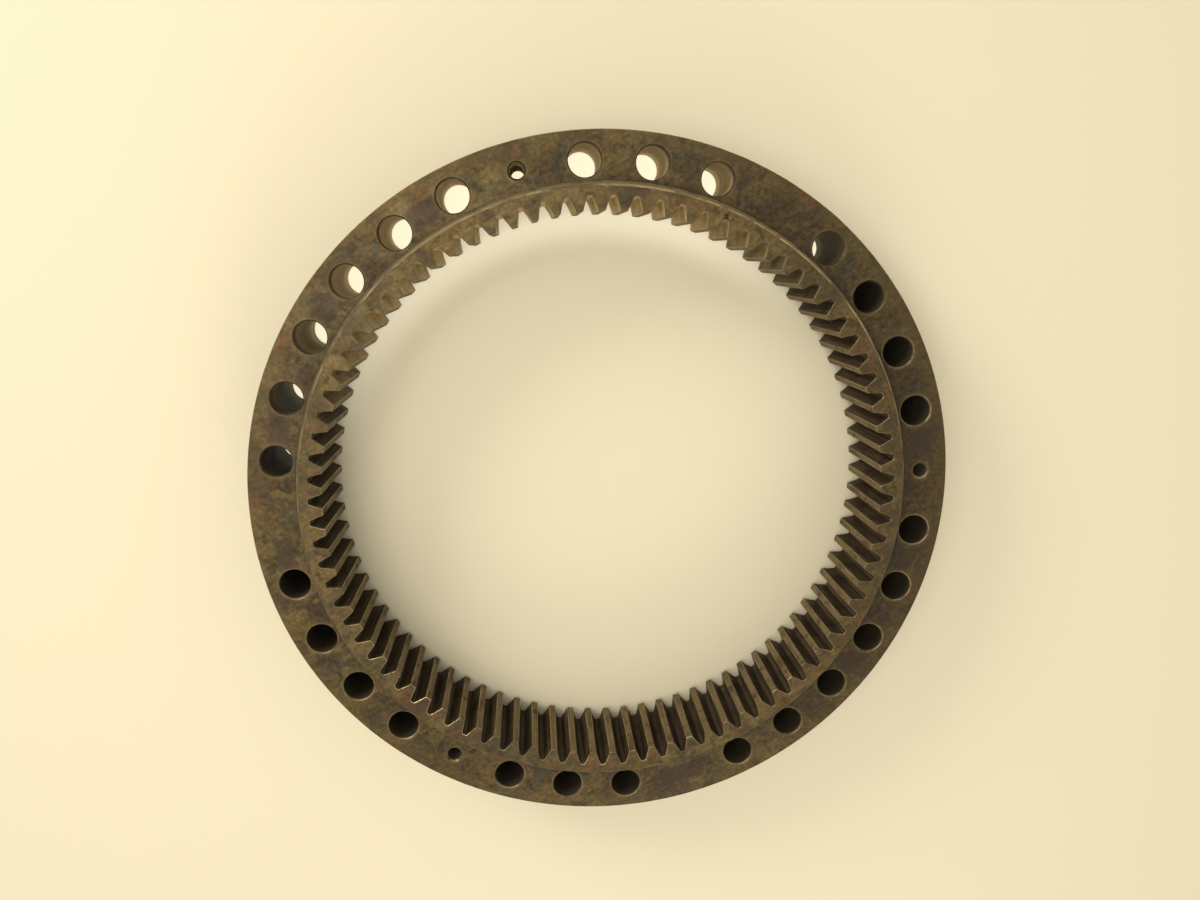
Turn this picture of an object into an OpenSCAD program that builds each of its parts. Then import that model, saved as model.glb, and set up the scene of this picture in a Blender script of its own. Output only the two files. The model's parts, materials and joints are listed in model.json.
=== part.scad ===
// Slewing ring bearing: a drilled outer ring, an internally toothed inner ring, and a
// single row of balls in cage segments between them, closed by a seal at each end.
// Millimetres. The ring lies flat: +Z is the slewing axis, and the origin is the centre
// of the outer ring's bottom face. Hole positions count anticlockwise from +X.

/* [Outer ring] */
// Outside diameter of the outer ring
outer_d = 520; // [514:1:530]
// Height of the outer ring
ring_h = 64; // [60:1:72]
// Bevel on the corners of the outer ring's outside wall
corner_bevel = 0.5; // [0.5:0.5:2]

/* [Bolt circle] */
// Diameter of the circle that all the holes stand on
bolt_circle_d = 480; // [479:0.5:482]
// Equal divisions of that circle
positions = 32; // [32:1:32]
// Diameter of the plain through holes
bolt_hole_d = 23; // [18:0.5:24]
// Positions that hold a tapped hole in place of a plain one
tapped_positions = [0, 9, 21]; // [0:1:31]
// Positions left undrilled
blank_positions = [5, 16, 25]; // [0:1:31]
// Diameter of the tapped holes' thread crests
tapped_hole_d = 10.2; // [6.8:0.1:12]
// Bevel at the mouth of a plain hole
bolt_hole_bevel = 0.8; // [0.2:0.1:1.2]
// Bevel at the mouth of a tapped hole
tapped_hole_bevel = 1.4; // [0.5:0.1:1.5]

/* [Inner ring] */
// Outside diameter of the rim that stands above the outer ring
rim_d = 447; // [446.8:0.1:447.4]
// Height of the rim above the outer ring
rim_proud = 9.5; // [6:0.5:14]
// Depth of the seal's track below the rim's wall
track_depth = 0.3; // [0.1:0.1:0.4]
// Bevel on the rim's top corner
rim_bevel = 1.5; // [0.5:0.5:2]
// Gap between the rim's lower shoulder and the outer ring
shoulder_gap = 0.8; // [0.5:0.1:1.2]
// Height of the inner ring's bottom face above the outer ring's
inner_lift = 4; // [2:0.5:4]
// Bevel on the inner ring's lower outside corner
inner_corner = 1; // [0.5:0.5:1.5]

/* [Gear] */
// Module of the internal spur teeth
gear_module = 5; // [5:0.01:5.01]
// Number of teeth
teeth = 84; // [84:1:84]
// Pressure angle in degrees
pressure_angle = 20; // [19:0.5:22]
// Height of a tooth inside the pitch circle
addendum = 4.4; // [4:0.1:5]
// Depth of a tooth space outside the pitch circle
dedendum = 5.8; // [5.5:0.1:6]
// Width of the flat at the bottom of a tooth space
root_flat = 1.8; // [1.2:0.1:2.4]
// Height of the rounding at the bottom of a tooth space
root_round = 0.8; // [0.5:0.1:1]
// Angle of the first tooth space from +X, in degrees
gear_turn = -0.4; // [-2:0.1:2]

/* [Ball race] */
// Diameter of a ball
ball_d = 6.35; // [6:0.05:6.35]
// Number of balls in the row, a multiple of the cage segments
balls = 156; // [132:12:156]
// Diameter of the circle through the ball centres
race_d = 444; // [443.8:0.1:444.2]
// Height of the ball centres above the bottom face
race_z = 32; // [28:0.5:34]
// Radial gap between the two rings on each side of the race
land_gap = 2.4; // [2.2:0.1:2.6]
// Clearance all round a ball, in the race and in its pocket
ball_clearance = 0.3; // [0.2:0.05:0.4]

/* [Cage] */
// Number of cage segments
segments = 12; // [12:1:12]
// Height of a segment
cage_h = 9; // [8:0.5:12]
// Thickness of a segment
cage_t = 1.4; // [1:0.1:1.5]
// Gap between the ends of two segments
cage_end_gap = 0.6; // [0.4:0.1:1]

/* [Seals] */
// Diameter of the seats turned in the outer ring
seal_seat_d = 452; // [451:0.5:453]
// Depth of the upper seat below the top face
upper_seat_depth = 4.5; // [4:0.5:6]
// Height of the lower seat's end above the bottom face
lower_seat_depth = 9; // [8:0.5:10]
// Depth of the upper seal's top below the top face
upper_seal_recess = 0.3; // [0.2:0.1:1]
// Height of the lower seal
lower_seal_h = 3.6; // [3:0.1:4]
// Gap between a seal's lip and the inner ring
lip_gap = 0.3; // [0.3:0.05:0.5]
// Height of the band on a lip that faces the inner ring
lip_band = 0.6; // [0.4:0.1:0.8]
// Distance that a seal stands back from the inner ring beside its lip
lip_relief = 0.6; // [0.4:0.1:0.8]
// Height of the upper seal's foot, where its lip starts
upper_seal_foot = 1; // [0.5:0.1:2]
// Drop of the lower seal's lip below its top
lower_lip_drop = 1.6; // [1:0.1:2]

/* [Filler plug] */
// Blank position that holds the radial plug through which the balls go in
filler_position = 5; // [5:1:5]
// Diameter of the plug
filler_d = 14; // [12:0.5:15]
// Depth of the plug's outer end below the outside wall
filler_recess = 0.4; // [0.2:0.1:1]
// Diameter of the tapped hole in the plug's end, for pulling it out
puller_hole_d = 5; // [4:0.5:5]
// Depth of that hole
puller_hole_depth = 11; // [6:1:12]
// Diameter of the pin that locks the plug
pin_d = 5; // [4:0.5:6]
// Radius at which the pin crosses the plug
pin_r = 240; // [236:1:243]
// Height of the pin's upper end above the bottom face
pin_top = 43; // [41:0.5:48]
// Height of the pin's lower end above the bottom face
pin_recess = 0.8; // [0.5:0.1:2]

/* [Grease ports] */
// Blank positions that hold a radial grease port
grease_positions = [16, 25]; // [0:1:31]
// Diameter of the port's tapped mouth
grease_port_d = 8; // [6:0.5:10]
// Depth of the port's tapped mouth
grease_port_depth = 11; // [10:1:12]
// Diameter of the passage from the port to the race
grease_passage_d = 3; // [2:0.5:4]
// Length of the screw that closes a port
grease_plug_length = 8; // [6:0.5:9]
// Depth of the screw's outer end below the outside wall
grease_plug_recess = 0.8; // [0.5:0.1:2]
// Width across the flats of the screw's socket
grease_socket_af = 4; // [3:0.5:5]
// Depth of the screw's socket
grease_socket_depth = 4; // [3:0.5:5]

/* [Hidden] */
outer_r = outer_d / 2;
circle_r = bolt_circle_d / 2;
step_angle = 360 / positions;
rim_r = rim_d / 2;
track_r = rim_r - track_depth;
race_r = race_d / 2;
groove_r = ball_d / 2 + ball_clearance;
outer_land_r = race_r + land_gap / 2;
inner_land_r = race_r - land_gap / 2;
seat_r = seal_seat_d / 2;
track_z = ring_h - upper_seat_depth + shoulder_gap;
inner_top = ring_h + rim_proud;
inner_h = inner_top - inner_lift;
pitch_r = gear_module * teeth / 2;
tip_r = pitch_r - addendum;
root_r = pitch_r + dedendum;
base_r = pitch_r * cos(pressure_angle);
// Straight steps along a tooth's flank
flank_steps = 5;
ball_angle = 360 / balls;
balls_per_segment = balls / segments;
segment_angle = 360 / segments;
cage_end_angle = cage_end_gap / race_r * 180 / PI;
// Distance that a cut runs past the surface it opens
over = 1;
// Facets round a ring, a hole and a ball
round_fn = 96;
hole_fn = 48;
ball_fn = 32;
steel = "#6e5c3e";
gear_steel = "#67563a";
bright_steel = "#b8b4aa";
brass = "#b08d4a";
rubber = "#26221c";

function polar(r, a) = [r * cos(a), r * sin(a)];
function is_in(value, list) = len([for (item = list) if (item == value) item]) > 0;

// Involute function, in degrees
function involute(a) = tan(a) * 180 / PI - a;

// Half the angle that a tooth space covers at radius r
function space_half_angle(r) = 90 / teeth + involute(pressure_angle) - involute(acos(base_r / r));

// Radii of the points along a flank, from the tooth tip to where the root rounding starts
flank_radii = [for (i = [0:flank_steps]) tip_r + (root_r - root_round - tip_r) * i / flank_steps];
root_half_angle = root_flat / 2 / root_r * 180 / PI;

// One tooth space as [radius, angle] points, anticlockwise
space_outline = concat(
    [for (i = [0:flank_steps]) [flank_radii[i], -space_half_angle(flank_radii[i])]],
    [[root_r, -root_half_angle], [root_r, root_half_angle]],
    [for (i = [flank_steps:-1:0]) [flank_radii[i], space_half_angle(flank_radii[i])]]);

// A cylinder lying along the radius at an angle and a height, from radius r1 to radius r2
module radial_cylinder(angle, z, d, r1, r2, fn = hole_fn) {
    rotate([0, 0, angle]) translate([r1, 0, z]) rotate([0, 90, 0])
        cylinder(d = d, h = r2 - r1, $fn = fn);
}

// The space swept by the balls' clearance: a full ring of round section
module race_groove() {
    translate([0, 0, race_z]) rotate_extrude($fn = round_fn)
        translate([race_r, 0]) circle(r = groove_r, $fn = hole_fn);
}

// A through hole with a bevel at both mouths
module drilled_hole(position, d, bevel) {
    rotate([0, 0, position * step_angle]) translate([circle_r, 0, 0]) {
        translate([0, 0, -over]) cylinder(d = d, h = ring_h + 2 * over, $fn = hole_fn);
        translate([0, 0, ring_h - bevel])
            cylinder(d1 = d, d2 = d + 2 * (bevel + over), h = bevel + over, $fn = hole_fn);
        translate([0, 0, -over])
            cylinder(d1 = d + 2 * (bevel + over), d2 = d, h = bevel + over, $fn = hole_fn);
    }
}

module bolt_circle_holes() {
    for (i = [0:positions - 1])
        if (is_in(i, tapped_positions)) drilled_hole(i, tapped_hole_d, tapped_hole_bevel);
        else if (!is_in(i, blank_positions)) drilled_hole(i, bolt_hole_d, bolt_hole_bevel);
}

module outer_ring_blank() {
    rotate_extrude($fn = round_fn) polygon([
        [seat_r, 0],
        [outer_r - corner_bevel, 0],
        [outer_r, corner_bevel],
        [outer_r, ring_h - corner_bevel],
        [outer_r - corner_bevel, ring_h],
        [seat_r, ring_h],
        [seat_r, ring_h - upper_seat_depth],
        [outer_land_r, ring_h - upper_seat_depth],
        [outer_land_r, lower_seat_depth],
        [seat_r, lower_seat_depth]]);
}

module grease_port(position) {
    angle = position * step_angle;
    radial_cylinder(angle, race_z, grease_port_d, outer_r - grease_port_depth, outer_r + over);
    radial_cylinder(angle, race_z, grease_passage_d, race_r, outer_r - grease_port_depth + over);
}

module outer_ring() {
    color(steel) difference() {
        outer_ring_blank();
        race_groove();
        bolt_circle_holes();
        radial_cylinder(filler_position * step_angle, race_z, filler_d, race_r, outer_r + over);
        filler_pin_shape(-over);
        for (position = grease_positions) grease_port(position);
    }
}

module inner_ring_blank() {
    rotate_extrude($fn = round_fn) polygon([
        [tip_r - over, inner_lift],
        [inner_land_r - inner_corner, inner_lift],
        [inner_land_r, inner_lift + inner_corner],
        [inner_land_r, track_z],
        [track_r, track_z],
        [track_r, ring_h],
        [rim_r, ring_h],
        [rim_r, inner_top - rim_bevel],
        [rim_r - rim_bevel, inner_top],
        [tip_r - over, inner_top]]);
}

module tooth_spaces() {
    translate([0, 0, inner_lift - over])
        linear_extrude(inner_h + 2 * over)
            polygon([for (t = [0:teeth - 1])
                for (p = space_outline) polar(p[0], gear_turn + t * 360 / teeth + p[1])]);
}

module inner_ring() {
    color(gear_steel) difference() {
        inner_ring_blank();
        race_groove();
        tooth_spaces();
    }
}

// Sits in the top seat, with its lip towards the track below the rim
module upper_seal() {
    floor_z = ring_h - upper_seat_depth;
    top_z = ring_h - upper_seal_recess;
    lip_r = track_r + lip_gap;
    color(rubber) rotate_extrude($fn = round_fn) polygon([
        [seat_r, floor_z],
        [seat_r, top_z],
        [lip_r, top_z],
        [lip_r, top_z - lip_band],
        [lip_r + lip_relief, floor_z + upper_seal_foot],
        [lip_r + lip_relief, floor_z]]);
}

// Sits in the bottom seat, with its lip towards the inner ring's land
module lower_seal() {
    top_z = lower_seat_depth;
    lip_r = inner_land_r + lip_gap;
    color(rubber) rotate_extrude($fn = round_fn) polygon([
        [seat_r, top_z - lower_seal_h],
        [seat_r, top_z],
        [outer_land_r, top_z],
        [lip_r, top_z - lower_lip_drop],
        [lip_r, top_z - lower_lip_drop - lip_band],
        [lip_r + lip_relief, top_z - lower_seal_h]]);
}

// Carries on the race across the hole that the balls go in by
module filler_plug() {
    angle = filler_position * step_angle;
    color(bright_steel) difference() {
        intersection() {
            radial_cylinder(angle, race_z, filler_d, race_r, outer_r + over);
            cylinder(r = outer_r - filler_recess, h = ring_h, $fn = round_fn);
        }
        cylinder(r = outer_land_r, h = ring_h, $fn = round_fn);
        race_groove();
        radial_cylinder(angle, race_z, puller_hole_d,
                        outer_r - filler_recess - puller_hole_depth, outer_r + over);
        filler_pin_shape(-over);
    }
}

module filler_pin_shape(bottom_z) {
    rotate([0, 0, filler_position * step_angle]) translate([pin_r, 0, bottom_z])
        cylinder(d = pin_d, h = pin_top - bottom_z, $fn = hole_fn);
}

module filler_pin() {
    color(bright_steel) filler_pin_shape(pin_recess);
}

module grease_plug(position) {
    angle = position * step_angle;
    end_r = outer_r - grease_plug_recess;
    color(bright_steel) difference() {
        radial_cylinder(angle, race_z, grease_port_d, end_r - grease_plug_length, end_r);
        radial_cylinder(angle, race_z, grease_socket_af / cos(30),
                        end_r - grease_socket_depth, end_r + over, fn = 6);
    }
}

module ball_pockets(segment) {
    for (i = [0:balls_per_segment - 1])
        radial_cylinder((segment - 1) * segment_angle + (i + 0.5) * ball_angle,
                        race_z, ball_d + 2 * ball_clearance, race_r - cage_t, race_r + cage_t);
}

// One curved strip of the cage, with a pocket for each of its balls
module cage_segment(segment) {
    color(brass) difference() {
        rotate([0, 0, (segment - 1) * segment_angle + cage_end_angle / 2])
            translate([0, 0, race_z - cage_h / 2])
                rotate_extrude(angle = segment_angle - cage_end_angle, $fn = round_fn)
                    translate([race_r - cage_t / 2, 0]) square([cage_t, cage_h]);
        ball_pockets(segment);
    }
}

// The balls that stand in one segment's pockets
module ball_group(segment) {
    color(bright_steel) for (i = [0:balls_per_segment - 1])
        rotate([0, 0, (segment - 1) * segment_angle + (i + 0.5) * ball_angle])
            translate([race_r, 0, race_z]) sphere(d = ball_d, $fn = ball_fn);
}

outer_ring();
inner_ring();
upper_seal();
lower_seal();
filler_plug();
filler_pin();
grease_plug(grease_positions[0]);  // grease_plug_1
grease_plug(grease_positions[1]);  // grease_plug_2
cage_segment(1);  // cage_segment_01
cage_segment(2);  // cage_segment_02
cage_segment(3);  // cage_segment_03
cage_segment(4);  // cage_segment_04
cage_segment(5);  // cage_segment_05
cage_segment(6);  // cage_segment_06
cage_segment(7);  // cage_segment_07
cage_segment(8);  // cage_segment_08
cage_segment(9);  // cage_segment_09
cage_segment(10);  // cage_segment_10
cage_segment(11);  // cage_segment_11
cage_segment(12);  // cage_segment_12
ball_group(1);  // balls_01
ball_group(2);  // balls_02
ball_group(3);  // balls_03
ball_group(4);  // balls_04
ball_group(5);  // balls_05
ball_group(6);  // balls_06
ball_group(7);  // balls_07
ball_group(8);  // balls_08
ball_group(9);  // balls_09
ball_group(10);  // balls_10
ball_group(11);  // balls_11
ball_group(12);  // balls_12
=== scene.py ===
"""Looks of the slewing ring bearing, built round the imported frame. Lengths are in metres.
Near and far are the -Y and +Y sides, left and right the -X and +X sides: the bottom, top, left
and right of the camera's picture. Some materials are lighter or darker by side, to repeat the
light that the object was seen in, which the lights here don't give by themselves."""
import json
import math
import random

import bmesh
import bpy
from mathutils import Matrix, Vector, noise


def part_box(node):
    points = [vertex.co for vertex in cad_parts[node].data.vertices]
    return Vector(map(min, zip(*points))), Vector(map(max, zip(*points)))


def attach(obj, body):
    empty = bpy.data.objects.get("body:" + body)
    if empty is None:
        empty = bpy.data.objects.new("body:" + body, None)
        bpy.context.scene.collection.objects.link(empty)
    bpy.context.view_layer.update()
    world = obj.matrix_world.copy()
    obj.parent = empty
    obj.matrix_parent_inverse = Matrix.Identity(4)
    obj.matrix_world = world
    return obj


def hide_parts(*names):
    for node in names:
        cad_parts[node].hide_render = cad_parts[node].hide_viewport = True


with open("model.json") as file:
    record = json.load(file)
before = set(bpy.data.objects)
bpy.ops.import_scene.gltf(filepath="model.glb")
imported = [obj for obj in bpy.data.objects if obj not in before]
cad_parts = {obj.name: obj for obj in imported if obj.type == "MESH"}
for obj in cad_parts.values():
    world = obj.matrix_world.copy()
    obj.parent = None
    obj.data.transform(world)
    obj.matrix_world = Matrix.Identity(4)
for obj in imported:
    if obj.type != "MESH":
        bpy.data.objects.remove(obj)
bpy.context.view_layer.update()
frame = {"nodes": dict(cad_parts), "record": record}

MM = 0.001
TAU = 2 * math.pi

# ---------------------------------------------------------------- sizes from the frame
mounts = {m["name"]: m for m in frame["record"]["mounts"]}
POSITIONS = 32
STEP = TAU / POSITIONS
CIRCLE_R = math.hypot(*mounts["tapped_hole_1"]["pos_m"][:2])
TAPPED_R = mounts["tapped_hole_1"]["dims"]["r_mm"] * MM
RIM_R = round(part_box("inner_ring")[1].x, 4)
OUTER_R = round(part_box("outer_ring")[1].x, 4)
RING_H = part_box("outer_ring")[1].z
INNER_LOW, INNER_TOP = (corner.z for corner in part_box("inner_ring"))
SEAT_R = round(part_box("upper_seal")[1].x, 4)
UPPER_SEAL_LOW, UPPER_SEAL_TOP = (corner.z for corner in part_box("upper_seal"))
LOWER_SEAL_LOW, LOWER_SEAL_TOP = (corner.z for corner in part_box("lower_seal"))
PORT_Z = sum(corner.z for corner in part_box("filler_plug")) / 2
PIN_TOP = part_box("filler_pin")[1].z

# ---------------------------------------------------------------- sizes repeated from the design
CORNER_BEVEL = 0.5 * MM
BOLT_BEVEL = 0.8 * MM
TAPPED_BEVEL = 1.4 * MM
RIM_BEVEL = 1.5 * MM
TRACK_DEPTH = 0.3 * MM
SHOULDER_GAP = 0.8 * MM
LIP_GAP = 0.3 * MM
LIP_BAND, LIP_RELIEF = 0.6 * MM, 0.6 * MM
UPPER_SEAL_FOOT, LOWER_LIP_DROP = 1.0 * MM, 1.6 * MM
INNER_CORNER = 1 * MM
RACE_R = 222 * MM
LAND_GAP = 2.4 * MM
BALL_R = 3.175 * MM
GROOVE_R = BALL_R + 0.3 * MM
BALLS, SEGMENTS = 156, 12
TEETH = 84
PITCH_R = 210 * MM
TIP_R = PITCH_R - 4.4 * MM
ROOT_R = PITCH_R + 5.8 * MM
ROOT_FLAT, ROOT_ROUND = 1.8 * MM, 0.8 * MM
TIP_CORNER = 0.35 * MM      # the rubbed corner between a tooth's land and its flank
PRESSURE_ANGLE = math.radians(20)
GEAR_TURN = math.radians(-0.4)
FILLER_POSITION, FILLER_R, FILLER_RECESS = 5, 7 * MM, 0.4 * MM
PULLER_R, PULLER_DEPTH = 2.5 * MM, 11 * MM
PIN_R = 2.5 * MM
GREASE_POSITIONS, GREASE_R, GREASE_DEPTH = (16, 25), 4 * MM, 11 * MM
PORT_RADII = {FILLER_POSITION: FILLER_R, **{position: GREASE_R for position in GREASE_POSITIONS}}

# ---------------------------------------------------------------- detail finer than the design's
THREAD_PITCH, THREAD_DEPTH = 1.75 * MM, 0.95 * MM
PULLER_PITCH, PULLER_THREAD = 1 * MM, 0.5 * MM
THREAD_FLANKS = 1.25    # 1 gives a thread without flat crests, and more gives wider ones
PLUG_BEVEL = 0.5 * MM
FILLER_HOLE_STOP, FILLER_PLUG_STOP = 2 * MM, 3 * MM     # how far outside the seal's seat each ends
SEAL_GROOVE = 0.25 * MM     # shallow groove moulded round each seal's outer face
GROOVE_TOP, GROOVE_FOOT = 0.5 * MM, 0.8 * MM    # where its outer side starts and ends, from the seat
LIP_CREST, LIP_FOOT = 0.4 * MM, 0.8 * MM    # and its inner side on the upper seal, from the lip
LIP_CORNER = 0.1 * MM       # drop from the top of the upper seal's lip to its edge
LOWER_LIP_FOOT = 1.2 * MM   # where the lower seal's groove ends, from its lip

OUTER_LAND_R = RACE_R + LAND_GAP / 2
INNER_LAND_R = RACE_R - LAND_GAP / 2
TRACK_Z = UPPER_SEAL_LOW + SHOULDER_GAP
TRACK_R = RIM_R - TRACK_DEPTH

# ---------------------------------------------------------------- mesh fineness
ARC_STEPS = 20      # steps along each arc of one position's sector
SIDE_STEPS = 12     # steps along each straight side of a sector
DRILL_RINGS = 24    # rows of points down a plain hole
ROWS_PER_TURN = 6   # rows of points to a turn of a tapped hole's thread
TURN_STEPS = 384    # steps round a seal
PLUG_STEPS, PULLER_ROWS = 64, 40    # steps round the filler plug, and rows down its puller hole
GROOVE_STEPS = 12   # steps along each ring's half of the race
FLANK_STEPS, ROOT_STEPS = 7, 3      # steps up a tooth's flank and along the rounding at its root
# Depths below the face, in millimetres, of the rows of points down a tooth, closest near its ends
TOOTH_ROWS = [0.8, 1.8, 3, 5, 8, 13, 20, 30, 40, 50, 57, 62, 65.5, 67.5, 68.7]
LAST_ROW_GAP = 0.8 * MM     # the least distance of these rows from the back face
WELD = 2e-6                 # points nearer than this become one
SHARP_ANGLE = math.radians(30)
KNOCKS = 60                 # dents on the tooth tips
EDGE_WEAR = 0.25 * MM       # bevel that use has put on a sharp corner
CORNER_WEAR = 0.04 * MM     # how far the outer corners are knocked about
BEVEL_WEAR = 0.25 * MM      # how far the rim's bevel is


def polar(r, angle, z=0.0):
    return Vector((r * math.cos(angle), r * math.sin(angle), z))


class Shell:
    """Collects grids of points into one closed mesh, with a material for each grid."""

    def __init__(self, name, materials):
        self.name, self.materials = name, materials
        self.points, self.faces, self.slots, self.wear = [], [], [], []

    def grid(self, rows, material, closed=False, wear=None):
        """Quads between successive rows of points. closed joins each row's end to its start.
        wear says how rubbed each row is, from 0 to 1, for the materials to read."""
        start, n = len(self.points), len(rows[0])
        for i, row in enumerate(rows):
            self.points += row
            self.wear += [wear[i] if wear else 0.0] * n
        for i in range(len(rows) - 1):
            for j in range(n if closed else n - 1):
                a, b = start + i * n + j, start + i * n + (j + 1) % n
                self.faces.append((a, b, b + n, a + n))
                self.slots.append(self.materials.index(material))

    def broken(self, spots, z):
        """Marks the points near these spots as broken steel, with -1 in place of their wear."""
        for angle, r, reach, _ in spots:
            centre = polar(r, angle, z)
            for i, point in enumerate(self.points):
                if (point - centre).length < reach * 1.2:
                    self.wear[i] = -1.0

    def cap(self, loop, material):
        start = len(self.points)
        self.points += loop
        self.wear += [0.0] * len(loop)
        self.faces.append(tuple(range(start, start + len(loop))))
        self.slots.append(self.materials.index(material))

    def build(self):
        mesh = bpy.data.meshes.new(self.name)
        mesh.from_pydata(self.points, [], self.faces)
        mesh.polygons.foreach_set("material_index", self.slots)
        for material in self.materials:
            mesh.materials.append(material)
        mesh.attributes.new("wear", "FLOAT", "POINT").data.foreach_set("value", self.wear)
        weld = bmesh.new()
        weld.from_mesh(mesh)
        bmesh.ops.remove_doubles(weld, verts=weld.verts, dist=WELD)
        bmesh.ops.recalc_face_normals(weld, faces=weld.faces)
        for face in weld.faces:
            face.smooth = True
        weld.to_mesh(mesh)
        weld.free()
        mesh.set_sharp_from_angle(angle=SHARP_ANGLE)
        piece = bpy.data.objects.new(self.name, mesh)
        bpy.context.scene.collection.objects.link(piece)
        return piece


# ---------------------------------------------------------------- node helpers
class Nodes:
    """Short calls for building a material's node tree."""

    def __init__(self, name):
        self.material = bpy.data.materials.new(name)
        self.material.use_nodes = True
        self.tree = self.material.node_tree
        self.shader = self.tree.nodes["Principled BSDF"]
        self.coordinate = self.add("ShaderNodeTexCoord").outputs["Object"]

    def add(self, kind, inputs=(), **settings):
        node = self.tree.nodes.new(kind)
        for key, value in settings.items():
            setattr(node, key, value)
        for socket, value in dict(inputs).items():
            self.put(node.inputs[socket], value)
        return node

    def put(self, socket, value):
        if isinstance(value, bpy.types.NodeSocket):
            self.tree.links.new(value, socket)
        elif socket.type == "RGBA":
            socket.default_value = (*value, 1)
        else:
            socket.default_value = value

    def set(self, **values):
        for name, value in values.items():
            self.put(self.shader.inputs[name.replace("_", " ")], value)

    def math(self, operation, a, b=0.0, clamp=False):
        node = self.add("ShaderNodeMath", {0: a, 1: b}, operation=operation, use_clamp=clamp)
        return node.outputs[0]

    def noise(self, scale, detail=4.0, roughness=0.55, vector=None, distortion=0.0):
        """Noise with about scale lumps to a metre, or to a unit of vector."""
        node = self.add("ShaderNodeTexNoise", {"Vector": vector or self.coordinate, "Scale": scale,
                                               "Detail": detail, "Roughness": roughness,
                                               "Distortion": distortion})
        return node.outputs["Fac"]

    def step(self, value, low, high):
        """0 below low, 1 above high, smooth between."""
        node = self.add("ShaderNodeMapRange", {"Value": value, "From Min": low, "From Max": high},
                        interpolation_type="SMOOTHSTEP")
        return node.outputs["Result"]

    def spread(self, value, low, high, to_low, to_high):
        node = self.add("ShaderNodeMapRange", {"Value": value, "From Min": low, "From Max": high,
                                               "To Min": to_low, "To Max": to_high})
        return node.outputs["Result"]

    def mix(self, factor, a, b, blend="MIX"):
        node = self.add("ShaderNodeMix", data_type="RGBA", blend_type=blend)
        self.put(node.inputs["Factor"], factor)
        self.put(node.inputs[6], a)
        self.put(node.inputs[7], b)
        return node.outputs[2]

    def grey(self, value):
        return self.add("ShaderNodeCombineColor", {0: value, 1: value, 2: value}).outputs[0]

    def worn(self, sign=1):
        """How rubbed the mesh says this spot is, from 0 to 1, or with sign -1 how broken."""
        wear = self.add("ShaderNodeAttribute", attribute_name="wear").outputs["Fac"]
        return self.math("MULTIPLY", wear, sign, clamp=True)

    def bump(self, height, strength, distance, normal=None):
        inputs = {"Height": height, "Strength": strength, "Distance": distance}
        if normal:
            inputs["Normal"] = normal
        return self.add("ShaderNodeBump", inputs).outputs["Normal"]

    def split(self):
        return self.add("ShaderNodeSeparateXYZ", {0: self.coordinate}).outputs

    def polar(self):
        """Radius and angle of a point about the slewing axis, and its height."""
        x, y, z = self.split()
        square = self.math("ADD", self.math("MULTIPLY", x, x), self.math("MULTIPLY", y, y))
        radius = self.math("SQRT", square)
        return radius, self.math("ARCTAN2", y, x), z

    def stretched(self, radius_scale, angle_scale, height_scale):
        """Coordinates that stretch a texture round, along or up the ring."""
        radius, angle, z = self.polar()
        node = self.add("ShaderNodeCombineXYZ", {0: self.math("MULTIPLY", radius, radius_scale),
                                                 1: self.math("MULTIPLY", angle, angle_scale),
                                                 2: self.math("MULTIPLY", z, height_scale)})
        return node.outputs[0]


OLIVE = (0.094, 0.065, 0.024)
BROWN = (0.061, 0.039, 0.014)
DARK = (0.020, 0.014, 0.008)
GREY_GREEN = (0.046, 0.041, 0.023)
RED_BROWN = (0.118, 0.050, 0.022)
TAN = (0.178, 0.127, 0.047)
GREEN = (0.096, 0.084, 0.034)
PURPLE = (0.046, 0.029, 0.021)
DULL_BROWN = (0.057, 0.035, 0.019)

# The stains on the steel, in the order they are laid on: shade, scale, where a patch starts in
# the noise, how soft its edge is, strength, distortion and detail
STAINS = [(BROWN, 15, 0.45, 0.15, 0.90, 0.4, 3), (GREEN, 24, 0.50, 0.14, 0.40, 0.4, 2),
          (PURPLE, 29, 0.51, 0.10, 0.85, 0.5, 4), (GREY_GREEN, 38, 0.51, 0.10, 0.80, 0.8, 4),
          (TAN, 33, 0.52, 0.16, 0.32, 0.5, 3), (RED_BROWN, 47, 0.53, 0.12, 0.75, 0.8, 3),
          (DARK, 90, 0.54, 0.10, 0.70, 1.0, 4), (TAN, 130, 0.55, 0.12, 0.22, 1.0, 3)]
SMEAR_SLOPE = 0.6   # the smears' direction across the ring


def tint(n, colour, scale, low, spread, shade, amount, distortion=0.6, detail=6):
    """Lays patches of another shade over a colour. spread is how soft the patches' edges are."""
    patch = n.step(n.noise(scale, detail, 0.6, distortion=distortion), low, low + spread)
    return n.mix(n.math("MULTIPLY", patch, amount), colour, shade)


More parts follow.
